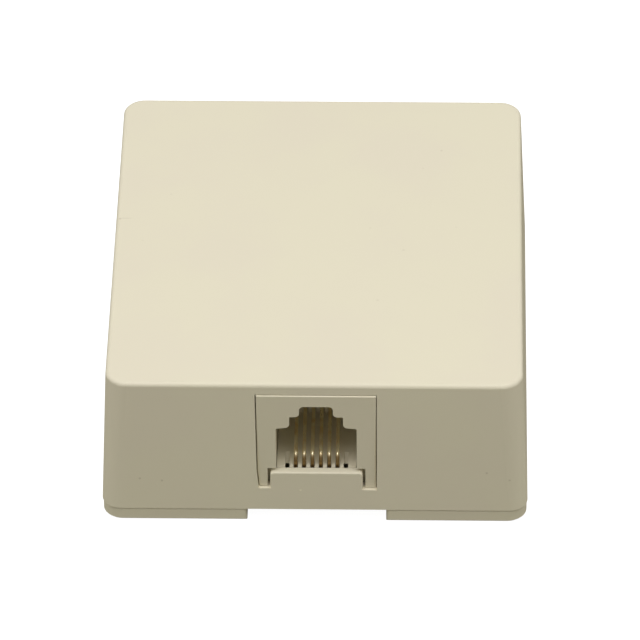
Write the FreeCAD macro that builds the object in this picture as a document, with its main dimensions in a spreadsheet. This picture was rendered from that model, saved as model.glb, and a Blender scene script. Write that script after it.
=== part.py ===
import FreeCAD, Part
import math
import os
import Sketcher

# Surface mount jack box: a drafted clip-on cover that carries a six-way modular jack insert in a window of
# its front wall, over a flat base plate with six screw terminals wired to the jack by short spade leads.
#
# Frame: millimetres, +Z up from the wall or desk, the jack faces -Y, and the origin is at the middle of the
# base plate's underside. Every sub-part is one object whose Label names its file in parts/.

Vector = FreeCAD.Vector

# Driving dimensions: cell alias, millimetres (degrees for angles, plain counts), what it sets.
DRIVING = [
    ("roof_width", 50.5, "cover roof, left to right"),
    ("roof_depth", 57.4, "cover roof, front to back"),
    ("box_height", 20.9, "roof top above the mounting surface"),
    ("skirt_level", 1.92, "cover's lower edge above the mounting surface"),
    ("flare", 0.8, "how far each wall leans out from roof to skirt"),
    ("roof_corner", 2.7, "plan corner radius at the roof"),
    ("skirt_corner", 2.3, "plan corner radius at the skirt"),
    ("roof_edge", 0.5, "rounding of the roof's upper edge"),
    ("wall", 1.5, "cover wall thickness"),
    ("roof", 1.55, "cover roof thickness"),
    ("base_inset", 0.1, "base plate's edge inside the skirt line"),
    ("base_thickness", 1.8, "base plate thickness"),
    ("base_corner", 2.4, "base plate's plan corner radius"),
    ("base_chamfer", 0.2, "bevel on the base plate's upper edge"),
    ("base_edge", 0.25, "bevel on the base plate's lower edge"),
    ("jack_offset", 0.25, "jack centre to the right of the box centre"),
    ("notch_width", 17.0, "cable notch in the base plate's front edge"),
    ("notch_depth", 7.0, "cable notch, front to back"),
    ("notch_corner", 0.5, "rounding of the notch's plan corners"),
    ("rim_height", 3.0, "locating rim above the base plate"),
    ("rim_thickness", 1.2, "locating rim wall"),
    ("rim_gap", 0.35, "locating rim to the cover wall at the skirt"),
    ("rim_corner_gap", 7.5, "locating rim short of each corner of the skirt"),
    ("rim_front_length", 9.0, "each locating rim along the front"),
    ("nib_length", 8.0, "snap nib along the rim"),
    ("nib_height", 0.25, "snap nib proud of the rim"),
    ("panel_proud", 0.2, "jack face ahead of the roof's front edge"),
    ("panel_width", 14.54, "jack face, left to right"),
    ("panel_skirt", 2.5, "jack face's right leg below the port floor"),
    ("leg_step", 0.18, "left leg's lower end above the right one's"),
    ("panel_drop", 1.61, "jack face's upper edge below the roof top"),
    ("panel_lean", 0.29, "how far the jack face's left edge leans in at its lower end"),
    ("panel_lean_start", 0.08, "how far it leans in at the port floor"),
    ("panel_thickness", 1.2, "jack face plate"),
    ("panel_edge", 0.12, "rounding of the jack face's outer edges"),
    ("window_gap", 0.09, "jack face to the cover's window, each side"),
    ("window_play", 0.05, "what the window's upper left corner is wider"),
    ("tongue_width", 11.27, "cover tongue that closes the port's lower side"),
    ("tongue_thickness", 1.0, "tongue, front to back"),
    ("tongue_corner", 0.45, "rounding of the tongue's upper corners"),
    ("tongue_edge", 0.18, "rounding of the tongue's front edge"),
    ("slot_gap", 0.33, "slot between the tongue and each leg"),
    ("leg_arch_rise", 0.42, "underside of the jack face between its legs, above the port floor"),
    ("port_width", 9.83, "plug opening"),
    ("port_height", 6.84, "plug opening beside the keyed steps"),
    ("shoulder_fall", 0.17, "fall of the plug opening's upper side, outward from the steps"),
    ("key_width", 6.55, "latch opening, lower step"),
    ("key_step", 1.65, "lower step above the plug opening"),
    ("latch_width", 4.1, "latch opening, upper step"),
    ("latch_step", 1.61, "upper step above the lower one"),
    ("face_margin", 1.66, "jack face above the port"),
    ("port_corner", 0.55, "rounding of the steps' outward corners and of the latch opening's upper ones"),
    ("port_nook", 0.15, "rounding of the port's other upper corners"),
    ("body_width", 12.8, "jack body behind its face"),
    ("body_roof", 1.1, "jack body above the port"),
    ("jack_length", 14.0, "jack insert, front to back"),
    ("rear_wall", 1.6, "jack body's rear wall"),
    ("ear_width", 1.7, "stop ear on each side of the jack body"),
    ("ear_depth", 1.5, "stop ear, front to back"),
    ("ear_rise", 1.2, "lower end of the stop ears above the port floor"),
    ("ear_length", 7.5, "stop ears, up and down"),
    ("ear_gap", 0.25, "stop ears behind the cover wall"),
    ("guide_thickness", 1.2, "guide rib beside the jack body"),
    ("guide_gap", 0.1, "guide rib to the jack body"),
    ("guide_rise", 2.2, "lower edge of the guide ribs above the port floor"),
    ("carrier_depth_below", 2.15, "contact carrier below the port floor"),
    ("carrier_gap", 0.065, "carrier to the jack body, each side"),
    ("comb_height", 4.3, "rear comb above the port floor"),
    ("comb_depth", 2.75, "rear comb block, front to back"),
    ("comb_slot", 0.54, "slot for one contact"),
    ("comb_slots", 8, "slots across the comb"),
    ("front_slot_depth", 3.0, "front comb slots, front to back"),
    ("ramp_front", 1.55, "front end of the ramp in each front slot, behind the carrier's front"),
    ("ramp_fall", 0.68, "ramp's front end below the port floor"),
    ("tip_slot_depth", 1.1, "rear comb slots, front to back"),
    ("contact_pitch", 1.02, "contact spacing"),
    ("contact_wire", 0.45, "contact wire diameter"),
    ("contact_count", 6, "contacts fitted"),
    ("contact_drop", 1.07, "contact's run below the port floor"),
    ("nose_radius", 1.28, "bend at the contact's front"),
    ("nose_back", 1.8, "bend centre behind the carrier's front"),
    ("tip_rise", 2.55, "contact tip above the port floor at rest"),
    ("tip_reach", 0.75, "contact tip inside the rear comb"),
    ("terminal_margin", 6.25, "screw terminals in from the roof's side edges"),
    ("terminal_lead_in", 4.9, "front terminals behind the jack"),
    ("terminal_rear_margin", 14.7, "rear terminals in from the roof's rear edge"),
    ("post_size", 8.0, "terminal post, square"),
    ("post_top", 6.0, "terminal post's upper side"),
    ("post_corner", 0.8, "rounding of the post's upright corners"),
    ("insert_diameter", 5.2, "threaded insert"),
    ("insert_length", 4.0, "threaded insert"),
    ("screw_shank", 3.5, "terminal screw, outside its thread"),
    ("screw_fit", 0.05, "radial running clearance round the shank"),
    ("screw_length", 4.6, "terminal screw below its head"),
    ("head_diameter", 6.4, "terminal screw head"),
    ("head_height", 1.9, "terminal screw head"),
    ("head_edge", 0.45, "rounding of the head"),
    ("drive_slot_width", 0.95, "screwdriver slot"),
    ("drive_slot_depth", 0.9, "screwdriver slot"),
    ("washer_diameter", 7.2, "terminal washer"),
    ("washer_thickness", 0.6, "terminal washer"),
    ("lug_thickness", 0.5, "spade lug plate"),
    ("lug_width", 6.4, "spade lug fork"),
    ("lug_tip", 2.6, "fork tips beyond the screw"),
    ("lug_slot_gap", 0.15, "fork slot to the screw shank, each side"),
    ("lug_shoulder", 2.9, "fork's root from the screw centre"),
    ("lug_neck", 1.9, "neck between the fork and the barrel"),
    ("barrel_start", 4.3, "barrel from the screw centre"),
    ("barrel_length", 3.6, "crimp barrel"),
    ("barrel_wall", 0.4, "crimp barrel wall"),
    ("lead_diameter", 1.1, "insulated lead"),
    ("lead_insertion", 2.2, "lead inside the crimp barrel"),
    ("lead_row_drop", 1.0, "lower row of leads below the port floor"),
    ("lead_row_rise", 1.6, "upper row of leads above the lower one"),
    ("lead_clearance", 2.55, "lower leads above the base plate"),
    ("lead_fan", 0.3, "how far each lead leans outward on its way back"),
    ("lead_loop", 7.0, "fold of each lead beyond its terminal"),
    ("lead_bend", 2.8, "last bend of each lead before its barrel"),
    ("mount_spacing", 30.0, "mounting hole spacing along Y"),
    ("mount_middle", 5.0, "middle of the mounting holes along Y"),
    ("mount_hole", 4.4, "mounting hole diameter"),
    ("mount_boss", 8.6, "raised ring round a mounting hole"),
    ("mount_boss_height", 1.0, "raised ring above the base plate"),
    ("mount_sink", 0.55, "bevel at the mouth of a mounting hole"),
]

# Cells worked out from the driving ones, as spreadsheet formulas.
DERIVED = [
    ("roof_half_x", "=roof_width / 2"),
    ("roof_half_y", "=roof_depth / 2"),
    ("skirt_half_x", "=roof_half_x + flare"),
    ("skirt_half_y", "=roof_half_y + flare"),
    ("ceiling", "=box_height - roof"),
    ("wall_slope", "=flare / (box_height - skirt_level)"),
    ("panel_top", "=box_height - panel_drop"),
    ("latch_top", "=panel_top - face_margin"),
    ("key_top", "=latch_top - latch_step"),
    ("port_top", "=key_top - key_step"),
    ("floor_level", "=port_top - port_height"),
    ("tongue_top", "=floor_level"),
    ("panel_bottom", "=floor_level - panel_skirt"),
    ("left_leg_bottom", "=panel_bottom + leg_step"),
    ("leg_arch", "=floor_level + leg_arch_rise"),
    ("port_shoulder", "=port_top - shoulder_fall"),
    ("body_top", "=latch_top + body_roof"),
    ("ear_bottom", "=floor_level + ear_rise"),
    ("ear_top", "=ear_bottom + ear_length"),
    ("guide_bottom", "=floor_level + guide_rise"),
    ("carrier_bottom", "=floor_level - carrier_depth_below"),
    ("comb_top", "=floor_level + comb_height"),
    ("contact_level", "=floor_level - contact_drop"),
    ("tip_level", "=floor_level + tip_rise"),
    ("panel_front", "=roof_half_y + panel_proud"),
    ("body_back", "=panel_front - jack_length"),
    ("lead_row_low", "=floor_level - lead_row_drop"),
    ("lead_row_high", "=lead_row_low + lead_row_rise"),
    ("terminal_side", "=roof_half_x - terminal_margin"),
    ("terminal_front", "=terminal_lead_in - body_back"),
    ("terminal_rear", "=roof_half_y - terminal_rear_margin"),
    ("terminal_spacing", "=(terminal_rear - terminal_front) / 2"),
    ("hollow_skirt_x", "=skirt_half_x - wall"),
    ("hollow_skirt_y", "=skirt_half_y - wall"),
    ("hollow_skirt_corner", "=skirt_corner - wall / 2"),
    ("hollow_roof_x", "=skirt_half_x - wall_slope * (ceiling - skirt_level) - wall"),
    ("hollow_roof_y", "=skirt_half_y - wall_slope * (ceiling - skirt_level) - wall"),
    ("hollow_roof_corner", "=roof_corner - wall / 2"),
    ("base_half_x", "=skirt_half_x - base_inset"),
    ("base_half_y", "=skirt_half_y - base_inset"),
    ("notch_half", "=notch_width / 2"),
    ("notch_back", "=notch_depth - base_half_y"),
    ("rim_out_x", "=hollow_skirt_x - rim_gap"),
    ("rim_in_x", "=rim_out_x - rim_thickness"),
    ("rim_out_y", "=hollow_skirt_y - rim_gap"),
    ("rim_in_y", "=rim_out_y - rim_thickness"),
    ("rim_side_half", "=skirt_half_y - rim_corner_gap"),
    ("rim_back_half", "=skirt_half_x - rim_corner_gap"),
    ("rim_front_out", "=rim_in_x - rim_thickness"),
    ("rim_front_in", "=rim_front_out - rim_front_length"),
    ("rim_top", "=base_thickness + rim_height"),
    ("nib_out_x", "=rim_out_x + nib_height"),
    ("nib_low", "=rim_top - 4 * nib_height"),
    ("nib_middle", "=rim_top - 2 * nib_height"),
    ("panel_half", "=panel_width / 2"),
    ("panel_half_low", "=panel_half - panel_lean"),
    ("panel_half_floor", "=panel_half - panel_lean_start"),
    ("window_half", "=panel_half + window_gap"),
    ("window_half_top", "=window_half + window_play"),
    ("window_half_floor", "=panel_half_floor + window_gap"),
    ("window_half_low", "=panel_half_low + window_gap"),
    ("window_top", "=panel_top + window_gap"),
    ("window_bottom", "=panel_bottom - window_gap"),
    ("window_bottom_left", "=left_leg_bottom - window_gap"),
    ("tongue_half", "=tongue_width / 2"),
    ("tongue_back", "=skirt_half_y - wall_slope * (tongue_top - skirt_level) - tongue_thickness"),
    ("leg_half", "=tongue_half + slot_gap"),
    ("port_half", "=port_width / 2"),
    ("key_half", "=key_width / 2"),
    ("latch_half", "=latch_width / 2"),
    ("body_half", "=body_width / 2"),
    ("body_front", "=panel_front - panel_thickness"),
    ("port_depth", "=panel_front - body_back - rear_wall"),
    ("body_bottom", "=left_leg_bottom + 0.1"),
    ("ear_half", "=body_half + ear_width"),
    ("ear_front", "=roof_half_y + wall_slope * (box_height - ear_top) - wall - ear_gap"),
    ("ear_back", "=ear_front - ear_depth"),
    ("guide_in", "=body_half + guide_gap"),
    ("guide_out", "=guide_in + guide_thickness"),
    ("guide_front", "=ear_back - guide_gap"),
    ("guide_back", "=body_back - guide_thickness - guide_gap"),
    ("carrier_half", "=port_half - carrier_gap"),
    ("carrier_front", "=tongue_back - carrier_gap"),
    ("comb_front", "=body_back + comb_depth"),
    ("recess_top", "=comb_top + carrier_gap"),
    ("slot_half", "=comb_slot / 2"),
    ("front_slot_back", "=carrier_front - front_slot_depth"),
    ("ramp_end", "=carrier_front - ramp_front"),
    ("ramp_level", "=floor_level - ramp_fall"),
    ("tip_slot_back", "=comb_front - tip_slot_depth"),
    ("channel_top", "=contact_level + comb_slot / 2"),
    ("channel_back", "=comb_front - tip_slot_depth"),
    ("nose_centre", "=nose_back - carrier_front"),
    ("contact_tail", "=-channel_back - 0.1"),
    ("contact_tip", "=tip_reach - comb_front"),
    ("post_half", "=post_size / 2"),
    ("lug_top", "=post_top + lug_thickness"),
    ("washer_top", "=lug_top + washer_thickness"),
    ("head_top", "=washer_top + head_height"),
    ("drive_slot_half", "=drive_slot_width / 2"),
    ("head_radius", "=head_diameter / 2"),
    ("shank_radius", "=screw_shank / 2"),
    ("screw_tip", "=washer_top - screw_length"),
    ("bore_radius", "=shank_radius + screw_fit"),
    ("insert_radius", "=insert_diameter / 2"),
    ("insert_bottom", "=post_top - insert_length"),
    ("washer_radius", "=washer_diameter / 2"),
    ("lug_half", "=lug_width / 2"),
    ("lug_slot_half", "=shank_radius + lug_slot_gap"),
    ("lug_neck_half", "=lug_neck / 2"),
    ("barrel_bore", "=lead_diameter / 2"),
    ("barrel_radius", "=barrel_bore + barrel_wall"),
    ("barrel_axis", "=post_top + barrel_radius"),
    ("barrel_end", "=barrel_start + barrel_length"),
    ("lug_tail", "=barrel_start + barrel_length - lead_insertion - 0.3"),
    ("mount_front", "=mount_middle - mount_spacing / 2"),
    ("mount_rear", "=mount_middle + mount_spacing / 2"),
    ("mount_radius", "=mount_hole / 2"),
    ("mount_boss_radius", "=mount_boss / 2"),
    ("mount_boss_top", "=base_thickness + mount_boss_height"),
    ("rib_depth", "=ceiling - guide_bottom"),
    ("stop_depth", "=ceiling - comb_top"),
    ("stop_face", "=guide_back + guide_thickness"),
    ("window_reach", "=flare + wall + 2 * window_gap"),
    ("tongue_rise", "=tongue_top - window_bottom"),
    ("thinning_back", "=hollow_skirt_y - wall"),
    ("nib_half", "=nib_length / 2"),
    ("post_height", "=post_top - base_thickness"),
    ("terminal_row", "=2 * terminal_spacing"),
    ("panel_rise", "=panel_top - panel_bottom"),
    ("body_depth", "=body_front - body_back"),
    ("screw_reach", "=washer_top - screw_tip"),
    ("carrier_depth", "=carrier_front - body_back"),
    ("first_slot", "=-contact_pitch * (comb_slots - 1) / 2"),
    ("first_slot_side", "=first_slot - slot_half"),
    ("slot_row", "=contact_pitch * (comb_slots - 1)"),
    ("contact_wire_radius", "=contact_wire / 2"),
    ("lug_root", "=lug_shoulder + lug_thickness"),
    ("lug_slot_end", "=lug_slot_half + lug_slot_gap"),
    ("lead_mouth", "=terminal_side - barrel_end"),
    ("lead_seat", "=lead_mouth + lead_insertion"),
    ("lead_return", "=lead_mouth - lead_bend"),
    ("lead_low", "=base_thickness + lead_clearance"),
]

# Places of what repeats: contact_place_1 is the leftmost contact, and the terminals run from the left front
# one, back along the left side and forward along the right.
TERMINAL_ROWS = 3
for number in range(1, 7):
    DERIVED.append((f"contact_place_{number}",
                    f"=jack_offset + contact_pitch * ({number} - (contact_count + 1) / 2)"))
for row in range(TERMINAL_ROWS):
    DERIVED.append((f"terminal_row_{row + 1}", f"=terminal_front + {row} * terminal_spacing"))

# A lead's arc takes this share of the shorter of its two runs.
RUN_SHARE = 0.45

doc = FreeCAD.newDocument("jack_box")
sheet = doc.addObject("Spreadsheet::Sheet", "dimensions")
sub_parts = []
volumes = {}


def fill_sheet():
    """Writes every dimension to the sheet: name, value, alias and note, one row each."""
    for row, (alias, number, note) in enumerate(DRIVING, start=1):
        sheet.set(f"A{row}", alias)
        sheet.set(f"B{row}", str(number))
        sheet.set(f"C{row}", note)
        sheet.setAlias(f"B{row}", alias)
    for row, (alias, formula) in enumerate(DERIVED, start=len(DRIVING) + 1):
        sheet.set(f"A{row}", alias)
        sheet.set(f"B{row}", formula)
        sheet.setAlias(f"B{row}", alias)
    doc.recompute()


def size(cell):
    """The number in a cell; a leading minus sign gives its negative."""
    if cell.startswith("-"):
        return -float(sheet.get(cell[1:]))
    return float(sheet.get(cell))


def formula(cell):
    """The expression that binds a property to a cell."""
    if cell.startswith("-"):
        return f"-dimensions.{cell[1:]}"
    return f"dimensions.{cell}"


def bind(item, path, cell):
    """Ties one property of an object to a cell."""
    item.setExpression(path, formula(cell))


def new_body(label):
    """A PartDesign body that becomes one sub-part."""
    body = doc.addObject("PartDesign::Body", label)
    body.Label = label
    sub_parts.append(body)
    return body


def place(body, x=None, y=None, turn=0.0):
    """Moves a body to the cells x and y, turned about Z by an angle in degrees."""
    body.Placement = FreeCAD.Placement(Vector(), FreeCAD.Rotation(Vector(0, 0, 1), turn))
    if x:
        bind(body, "Placement.Base.x", x)
    if y:
        bind(body, "Placement.Base.y", y)


def new_sketch(body, name, plane, level=None, shift=None):
    """A sketch on an origin plane of its body, lifted along its normal by one cell and moved across by another.

    The normals are +Z for XY_Plane, -Y for XZ_Plane and +X for YZ_Plane.
    """
    sketch = body.newObject("Sketcher::SketchObject", name)
    support = next(item for item in body.Origin.OriginFeatures if item.Role == plane)
    sketch.AttachmentSupport = [(support, "")]
    sketch.MapMode = "FlatFace"
    if level:
        bind(sketch, "AttachmentOffset.Base.z", level)
    if shift:
        bind(sketch, "AttachmentOffset.Base.x", shift)
    return sketch


def pin_point(sketch, geometry, position, x, y):
    """Holds a point of a sketch at two cells measured from the sketch's origin. None is zero."""
    for kind, cell, axis in (("DistanceX", x, -2), ("DistanceY", y, -1)):
        if cell is None:
            sketch.addConstraint(Sketcher.Constraint("PointOnObject", geometry, position, axis))
            continue
        rule = Sketcher.Constraint(kind, -1, 1, geometry, position, size(cell))
        index = sketch.addConstraint(rule)
        bind(sketch, f"Constraints[{index}]", cell)


def polygon(sketch, corners):
    """A closed outline of straight lines through corners given as pairs of cells."""
    points = [Vector(size(x) if x else 0, size(y) if y else 0, 0) for x, y in corners]
    first = sketch.GeometryCount
    for start, end in zip(points, points[1:] + points[:1]):
        sketch.addGeometry(Part.LineSegment(start, end))
    for step in range(len(points)):
        after = first + (step + 1) % len(points)
        sketch.addConstraint(Sketcher.Constraint("Coincident", first + step, 2, after, 1))
    for step, (x, y) in enumerate(corners):
        pin_point(sketch, first + step, 1, x, y)


def rectangle(sketch, left, right, low, high):
    """A rectangle between four cells."""
    polygon(sketch, [(left, low), (right, low), (right, high), (left, high)])


def circle(sketch, radius, x=None, y=None):
    """A circle whose radius and centre are cells."""
    centre = Vector(size(x) if x else 0, size(y) if y else 0, 0)
    index = sketch.addGeometry(Part.Circle(centre, Vector(0, 0, 1), size(radius)))
    pin_point(sketch, index, 3, x, y)
    rule = sketch.addConstraint(Sketcher.Constraint("Radius", index, size(radius)))
    bind(sketch, f"Constraints[{rule}]", radius)


def rounded_rectangle(sketch, half_x, half_y, radius):
    """A rectangle about the origin with round corners; all three sizes are cells."""
    reach_x, reach_y, corner = size(half_x), size(half_y), size(radius)
    quadrants = [(1, 1, 0), (-1, 1, 90), (-1, -1, 180), (1, -1, 270)]
    arcs = []
    for side_x, side_y, angle in quadrants:
        centre = Vector(side_x * (reach_x - corner), side_y * (reach_y - corner), 0)
        ring = Part.Circle(centre, Vector(0, 0, 1), corner)
        arcs.append(sketch.addGeometry(Part.ArcOfCircle(ring, math.radians(angle), math.radians(angle + 90))))
    edges = [("Horizontal", "DistanceY", half_y), ("Vertical", "DistanceX", "-" + half_x),
             ("Horizontal", "DistanceY", "-" + half_y), ("Vertical", "DistanceX", half_x)]
    for index, (level_rule, distance_rule, cell) in enumerate(edges):
        here, there = arcs[index], arcs[(index + 1) % 4]
        line = sketch.addGeometry(Part.LineSegment(sketch.getPoint(here, 2), sketch.getPoint(there, 1)))
        sketch.addConstraint(Sketcher.Constraint("Tangent", here, 2, line, 1))
        sketch.addConstraint(Sketcher.Constraint("Tangent", line, 2, there, 1))
        sketch.addConstraint(Sketcher.Constraint(level_rule, line))
        rule = sketch.addConstraint(Sketcher.Constraint(distance_rule, -1, 1, line, 1, size(cell)))
        bind(sketch, f"Constraints[{rule}]", cell)
    rule = sketch.addConstraint(Sketcher.Constraint("Radius", arcs[0], corner))
    bind(sketch, f"Constraints[{rule}]", radius)
    for arc in arcs[1:]:
        sketch.addConstraint(Sketcher.Constraint("Equal", arcs[0], arc))


def pad(body, sketch, length, name, flip=False):
    """Raises a sketch along its normal by a cell, or against it when flipped."""
    feature = body.newObject("PartDesign::Pad", name)
    feature.Profile = sketch
    feature.Reversed = flip
    bind(feature, "Length", length)
    return settle(body, feature, grows=True)


def pocket(body, sketch, length, name, flip=False):
    """Cuts a sketch against its normal by a cell, or along it when flipped. No cell cuts right through."""
    feature = body.newObject("PartDesign::Pocket", name)
    feature.Profile = sketch
    feature.Reversed = flip
    if length:
        bind(feature, "Length", length)
    else:
        feature.Type = "ThroughAll"
    return settle(body, feature, grows=False)


def settle(body, feature, grows):
    """Recomputes and stops if a feature added or removed nothing."""
    before = volumes.get(body.Name, 0.0)
    doc.recompute()
    change = feature.Shape.Volume - before
    if (change > 0) != grows or abs(change) < 1e-6 or feature.Shape.Volume < 1e-6:
        raise RuntimeError(f"{body.Label}.{feature.Name} changed the volume by {change:.4f}")
    body.Tip = feature
    volumes[body.Name] = feature.Shape.Volume
    return feature


def round_edges(body, radius, name, wanted, kind="PartDesign::Fillet"):
    """Rounds or bevels the edges of a body that a test picks out by their end points and middle."""
    base = body.Tip
    names = []
    for index, edge in enumerate(base.Shape.Edges, start=1):
        middle = edge.valueAt((edge.FirstParameter + edge.LastParameter) / 2)
        if wanted(edge, middle):
            names.append(f"Edge{index}")
    if not names:
        raise RuntimeError(f"{body.Label}.{name} found no edges")
    feature = body.newObject(kind, name)
    feature.Base = (base, names)
    bind(feature, "Radius" if kind.endswith("Fillet") else "Size", radius)
    doc.recompute()
    if not feature.Shape.isValid() or len(feature.Shape.Faces) <= len(base.Shape.Faces):
        raise RuntimeError(f"{body.Label}.{name} rounded nothing")
    body.Tip = feature
    volumes[body.Name] = feature.Shape.Volume
    return feature


def is_upright(edge):
    """True for a straight edge along Z."""
    return len(edge.Vertexes) == 2 and abs(abs(edge.tangentAt(edge.FirstParameter).z) - 1) < 1e-6


def is_fore_and_aft(edge):
    """True for a straight edge along Y."""
    return len(edge.Vertexes) == 2 and abs(abs(edge.tangentAt(edge.FirstParameter).y) - 1) < 1e-6


def near(number, cell, margin=0.02):
    """True where a coordinate lies at a cell."""
    return abs(number - size(cell)) < margin


def loft(body, kind, name, sections):
    """A straight-sided loft between rounded rectangles given as (level, half x, half y, corner) cells."""
    sketches = []
    for index, (level, half_x, half_y, corner) in enumerate(sections, start=1):
        sketch = new_sketch(body, f"{name}_section_{index}", "XY_Plane", level)
        rounded_rectangle(sketch, half_x, half_y, corner)
        sketches.append(sketch)
    feature = body.newObject(kind, name)
    feature.Profile = sketches[0]
    feature.Sections = sketches[1:]
    feature.Ruled = True
    return settle(body, feature, grows=kind.endswith("AdditiveLoft"))


def make_cover():
    """Drafted shell with the jack's window, the tongue that closes the port, and ribs that guide the jack."""
    body = new_body("cover")
    loft(body, "PartDesign::AdditiveLoft", "shell_outside",
         [("skirt_level", "skirt_half_x", "skirt_half_y", "skirt_corner"),
          ("box_height", "roof_half_x", "roof_half_y", "roof_corner")])
    loft(body, "PartDesign::SubtractiveLoft", "shell_inside",
         [("skirt_level", "hollow_skirt_x", "hollow_skirt_y", "hollow_skirt_corner"),
          ("ceiling", "hollow_roof_x", "hollow_roof_y", "hollow_roof_corner")])
    round_edges(body, "roof_edge", "roof_rounding", lambda edge, middle: near(middle.z, "box_height"))

    guides = new_sketch(body, "guide_outline", "XY_Plane", "ceiling", "jack_offset")
    rectangle(guides, "guide_in", "guide_out", "-guide_front", "-guide_back")
    rectangle(guides, "-guide_out", "-guide_in", "-guide_front", "-guide_back")
    pad(body, guides, "rib_depth", "guide_ribs", flip=True)
    stop = new_sketch(body, "stop_outline", "XY_Plane", "ceiling", "jack_offset")
    rectangle(stop, "-guide_in", "guide_in", "-stop_face", "-guide_back")
    pad(body, stop, "stop_depth", "jack_stop", flip=True)

    window = new_sketch(body, "window_outline", "XZ_Plane", "skirt_half_y", "jack_offset")
    polygon(window, [("-window_half_low", "window_bottom_left"), ("-tongue_half", "window_bottom_left"),
                     ("-tongue_half", "tongue_top"), ("tongue_half", "tongue_top"),
                     ("tongue_half", "window_bottom"), ("window_half", "window_bottom"),
                     ("window_half", "window_top"), ("-window_half_top", "window_top"),
                     ("-window_half_floor", "floor_level")])
    pocket(body, window, "window_reach", "window")
    round_edges(body, "tongue_corner", "tongue_rounding",
                lambda edge, middle: is_fore_and_aft(edge) and near(middle.z, "tongue_top")
                and near(abs(middle.x - size("jack_offset")), "tongue_half"))
    round_edges(body, "tongue_edge", "tongue_edge_rounding",
                lambda edge, middle: near(middle.z, "tongue_top") and near(middle.x, "jack_offset")
                and middle.y < -size("roof_half_y"))
    thinning = new_sketch(body, "tongue_back_outline", "XY_Plane", "window_bottom", "jack_offset")
    rectangle(thinning, "-tongue_half", "tongue_half", "-tongue_back", "-thinning_back")
    pocket(body, thinning, "tongue_rise", "tongue_thinning", flip=True)


def make_base_plate():
    """Flat plate with the cable notch, the locating rim, six terminal posts and two mounting holes."""
    body = new_body("base_plate")
    plate = new_sketch(body, "plate_outline", "XY_Plane")
    rounded_rectangle(plate, "base_half_x", "base_half_y", "base_corner")
    pad(body, plate, "base_thickness", "plate")
    round_edges(body, "base_chamfer", "edge_bevel", lambda edge, middle: near(middle.z, "base_thickness"),
                "PartDesign::Chamfer")
    round_edges(body, "base_edge", "lower_bevel", lambda edge, middle: abs(middle.z) < 1e-6,
                "PartDesign::Chamfer")
    notch = new_sketch(body, "notch_outline", "XY_Plane", None, "jack_offset")
    rectangle(notch, "-notch_half", "notch_half", "-skirt_half_y", "notch_back")
    pocket(body, notch, None, "notch", flip=True)
    round_edges(body, "notch_corner", "notch_rounding",
                lambda edge, middle: is_upright(edge) and middle.y < 0
                and near(abs(middle.x - size("jack_offset")), "notch_half"))

    rims = new_sketch(body, "rim_outline", "XY_Plane", "base_thickness")
    rectangle(rims, "rim_in_x", "rim_out_x", "-rim_side_half", "rim_side_half")
    rectangle(rims, "-rim_out_x", "-rim_in_x", "-rim_side_half", "rim_side_half")
    rectangle(rims, "-rim_back_half", "rim_back_half", "rim_in_y", "rim_out_y")
    rectangle(rims, "rim_front_in", "rim_front_out", "-rim_out_y", "-rim_in_y")
    rectangle(rims, "-rim_front_out", "-rim_front_in", "-rim_out_y", "-rim_in_y")
    pad(body, rims, "rim_height", "locating_rim")
    for sign, side in (("", "right"), ("-", "left")):
        nib = new_sketch(body, f"{side}_nib_outline", "XZ_Plane", "nib_half")
        polygon(nib, [(sign + "rim_out_x", "nib_low"), (sign + "nib_out_x", "nib_middle"),
                      (sign + "rim_out_x", "rim_top")])
        pad(body, nib, "nib_length", f"{side}_snap_nib", flip=True)

    first_terminals = []
    for sign, side in (("", "right"), ("-", "left")):
        post = new_sketch(body, f"{side}_post_outline", "XY_Plane", "base_thickness", sign + "terminal_side")
        bind(post, "AttachmentOffset.Base.y", "terminal_front")
        rounded_rectangle(post, "post_half", "post_half", "post_corner")
        first_terminals.append(pad(body, post, "post_height", f"{side}_post"))
        bore = new_sketch(body, f"{side}_bore_outline", "XY_Plane", "post_top", sign + "terminal_side")
        bind(bore, "AttachmentOffset.Base.y", "terminal_front")
        circle(bore, "insert_radius")
        first_terminals.append(pocket(body, bore, "insert_length", f"{side}_bore"))
    row = body.newObject("PartDesign::LinearPattern", "terminal_rows")
    row.Originals = first_terminals
    row.Direction = (next(item for item in body.Origin.OriginFeatures if item.Role == "Y_Axis"), [""])
    row.Occurrences = 3
    bind(row, "Length", "terminal_row")
    settle(body, row, grows=True)

    bosses = new_sketch(body, "mount_boss_outline", "XY_Plane", "base_thickness")
    holes = new_sketch(body, "mount_hole_outline", "XY_Plane", "mount_boss_top")
    for middle in ("mount_front", "mount_rear"):
        circle(bosses, "mount_boss_radius", None, middle)
        circle(holes, "mount_radius", None, middle)
    pad(body, bosses, "mount_boss_height", "mount_bosses")
    pocket(body, holes, None, "mount_holes")
    round_edges(body, "mount_sink", "mount_hole_bevels",
                lambda edge, middle: near(middle.z, "mount_boss_top")
                and near(edge.BoundBox.XMax, "mount_radius"), "PartDesign::Chamfer")


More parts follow.
